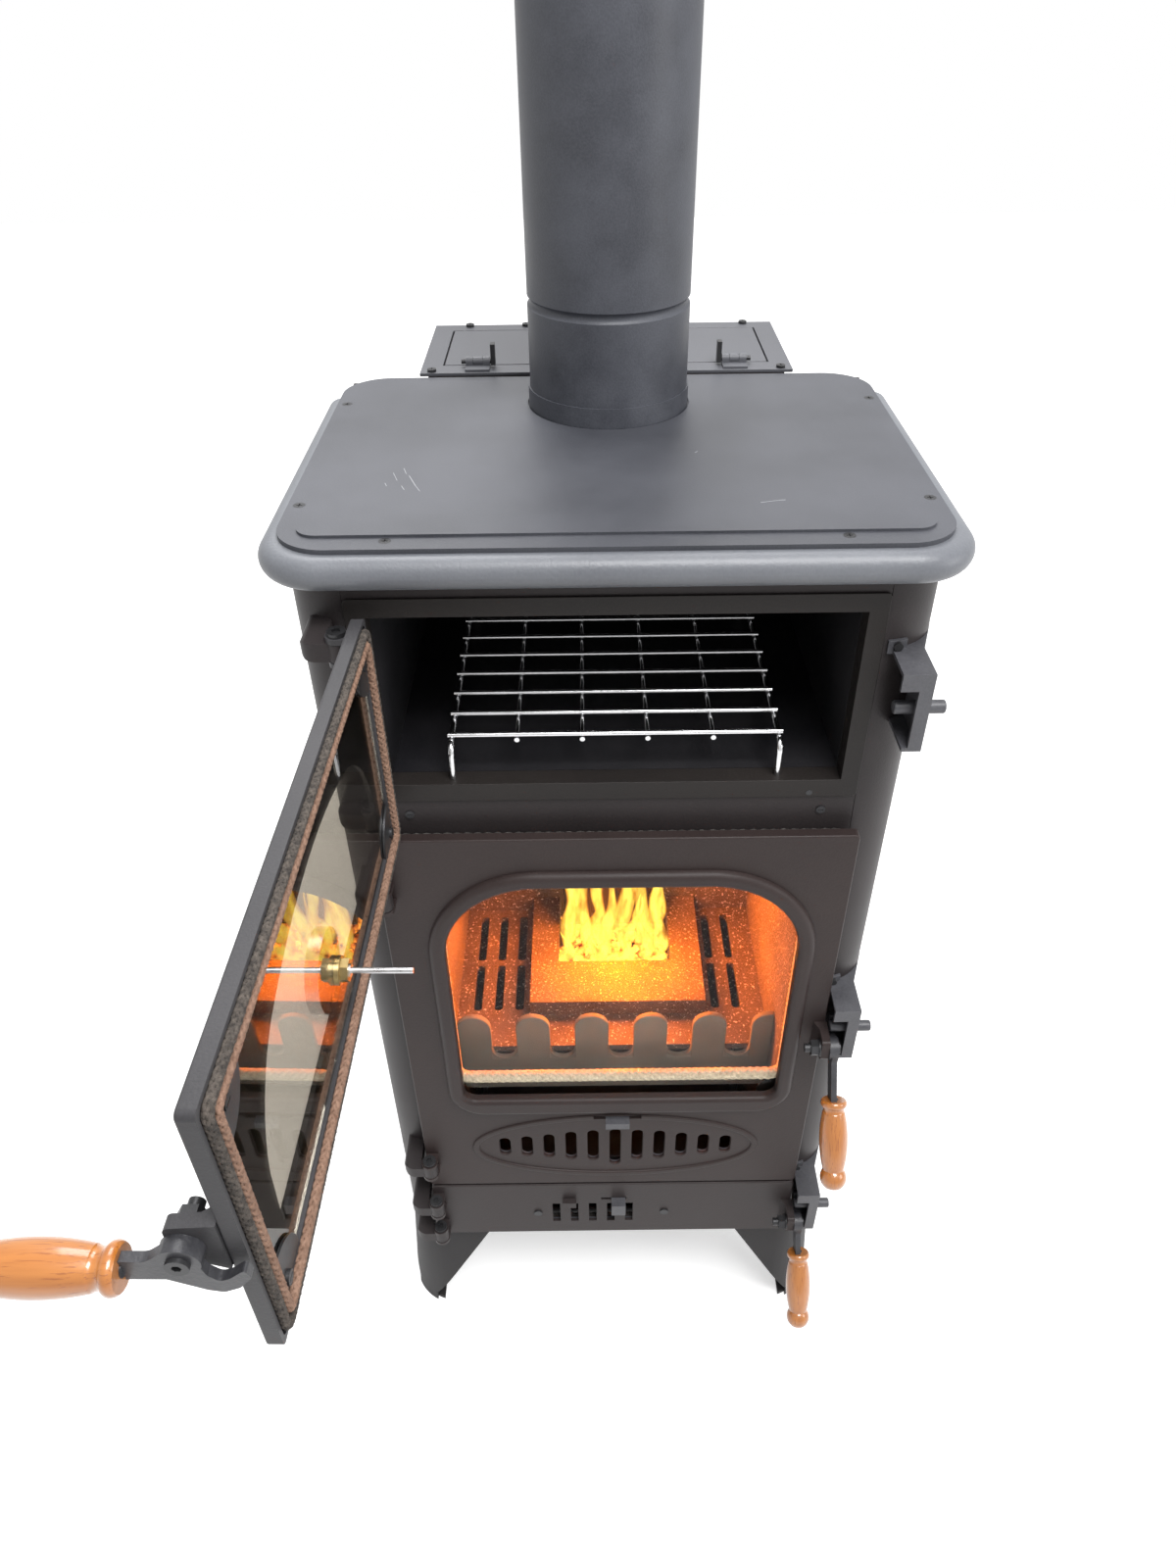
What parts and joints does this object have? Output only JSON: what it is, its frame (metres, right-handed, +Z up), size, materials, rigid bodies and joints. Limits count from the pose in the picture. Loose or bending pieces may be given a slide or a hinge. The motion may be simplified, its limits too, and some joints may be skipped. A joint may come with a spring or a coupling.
{
  "type": "pellet stove",
  "caption": "Upright pellet stove with an oven over the fire chamber, hooked door levers with wooden handles, a flue pipe and a pellet bin behind.",
  "frame": {"origin": "on the floor, at the centre of the four holes in the feet, which is also the centre of the casing in plan", "axes": "+X to the right of someone facing the doors, +Y towards the back, +Z up"},
  "size_m": [0.5524, 0.9122, 1.503],
  "materials": {
    "body_paint": "satin heat-resistant paint",
    "hob_paint": "satin heat-resistant paint",
    "pipe_paint": "matt heat-resistant paint",
    "cast_iron": "satin painted casting",
    "dark_steel": "blackened",
    "chrome_wire": "bright",
    "seal_rope": "knitted glass rope",
    "pale_rope": "knitted glass rope",
    "gasket": "woven tape",
    "window_glass": "polished",
    "lacquered_wood": "gloss lacquer",
    "dial_steel": "satin",
    "brass": "plated"
  },
  "bodies": {
    "stove": {"left_side_panel": "body_paint", "right_side_panel": "body_paint", "front_panel": "body_paint", "rear_panel": "body_paint", "base_panel": "body_paint", "oven_frame": "body_paint", "oven_liner": "body_paint", "legs": "body_paint", "hopper_box": "body_paint", "hopper_stays": "body_paint", "hopper_top": "body_paint", "lid_fixed_leaves": "body_paint", "pellet_chute": "body_paint", "smoke_baffle": "body_paint", "ash_runners": "body_paint", "hinge_lugs": "body_paint", "hob_rim": "hob_paint", "hob_plate": "hob_paint", "flue_collar": "pipe_paint", "flue_pipe": "pipe_paint", "keepers": "cast_iron", "fire_grate": "cast_iron", "guard_comb": "cast_iron", "burner": "cast_iron", "firebox_liner": "cast_iron", "hob_screws": "dark_steel", "casing_screws": "dark_steel", "hinge_bolts": "dark_steel", "keeper_pins": "dark_steel", "lid_hinge_pins": "dark_steel", "ash_pan": "dark_steel", "hopper_gasket": "gasket"},
    "oven_door": {"oven_door": "cast_iron", "oven_door_rope": "seal_rope", "oven_glass": "window_glass", "oven_glass_clips": "dark_steel", "thermometer": "dial_steel", "thermometer_nut": "brass", "oven_lever_bolt": "dark_steel"},
    "oven_lever": {"oven_lever": "cast_iron", "oven_handle": "lacquered_wood"},
    "fire_door": {"fire_door": "cast_iron", "fire_door_rope": "seal_rope", "fire_glass": "window_glass", "fire_glass_rope": "pale_rope", "fire_glass_clips": "dark_steel", "fire_lever_bolt": "dark_steel"},
    "fire_lever": {"fire_lever": "cast_iron", "fire_handle": "lacquered_wood"},
    "fire_air_slider": {"fire_air_slider": "cast_iron"},
    "ash_door": {"ash_door": "cast_iron", "ash_door_rope": "seal_rope", "ash_rivets": "dark_steel", "ash_lever_bolt": "dark_steel"},
    "ash_lever": {"ash_lever": "cast_iron", "ash_handle": "lacquered_wood"},
    "ash_air_slider": {"ash_air_slider": "cast_iron"},
    "hopper_lid": {"hopper_lid": "body_paint", "lid_moving_leaves": "body_paint"},
    "oven_rack": {"oven_rack": "chrome_wire"}
  },
  "joints": [
    {"name": "oven_door", "type": "hinge", "parent": "stove", "child": "oven_door", "pos_m": [-0.187, -0.193, 0.861], "axis": [0, 0, -1], "range_deg": [-91, 20]},
    {"name": "oven_lever", "type": "hinge", "parent": "oven_door", "child": "oven_lever", "pos_m": [-0.20077, -0.58082, 0.864], "axis": [0.0175, 0.9998, 0], "range_deg": [-57, 18]},
    {"name": "fire_door", "type": "hinge", "parent": "stove", "child": "fire_door", "pos_m": [-0.187, -0.193, 0.51], "axis": [0, 0, -1], "range_deg": [0, 110]},
    {"name": "fire_lever", "type": "hinge", "parent": "fire_door", "child": "fire_lever", "pos_m": [0.201, -0.2, 0.5145], "axis": [-1, 0, 0], "range_deg": [0, 75]},
    {"name": "ash_door", "type": "hinge", "parent": "stove", "child": "ash_door", "pos_m": [-0.187, -0.193, 0.21825], "axis": [0, 0, -1], "range_deg": [0, 110]},
    {"name": "ash_lever", "type": "hinge", "parent": "ash_door", "child": "ash_lever", "pos_m": [0.201, -0.2, 0.219], "axis": [-1, 0, 0], "range_deg": [0, 75]},
    {"name": "hopper_lid", "type": "hinge", "parent": "stove", "child": "hopper_lid", "pos_m": [0, 0.19, 1.0046], "axis": [1, 0, 0], "range_deg": [0, 95]},
    {"name": "fire_air_slider", "type": "slide", "parent": "fire_door", "child": "fire_air_slider", "axis": [1, 0, 0], "range_m": [-0.011, 0.011]},
    {"name": "ash_air_slider", "type": "slide", "parent": "ash_door", "child": "ash_air_slider", "axis": [-1, 0, 0], "range_m": [0, 0.01]},
    {"name": "oven_rack", "type": "slide", "parent": "stove", "child": "oven_rack", "axis": [0, -1, 0], "range_m": [0, 0.2]}
  ]
}
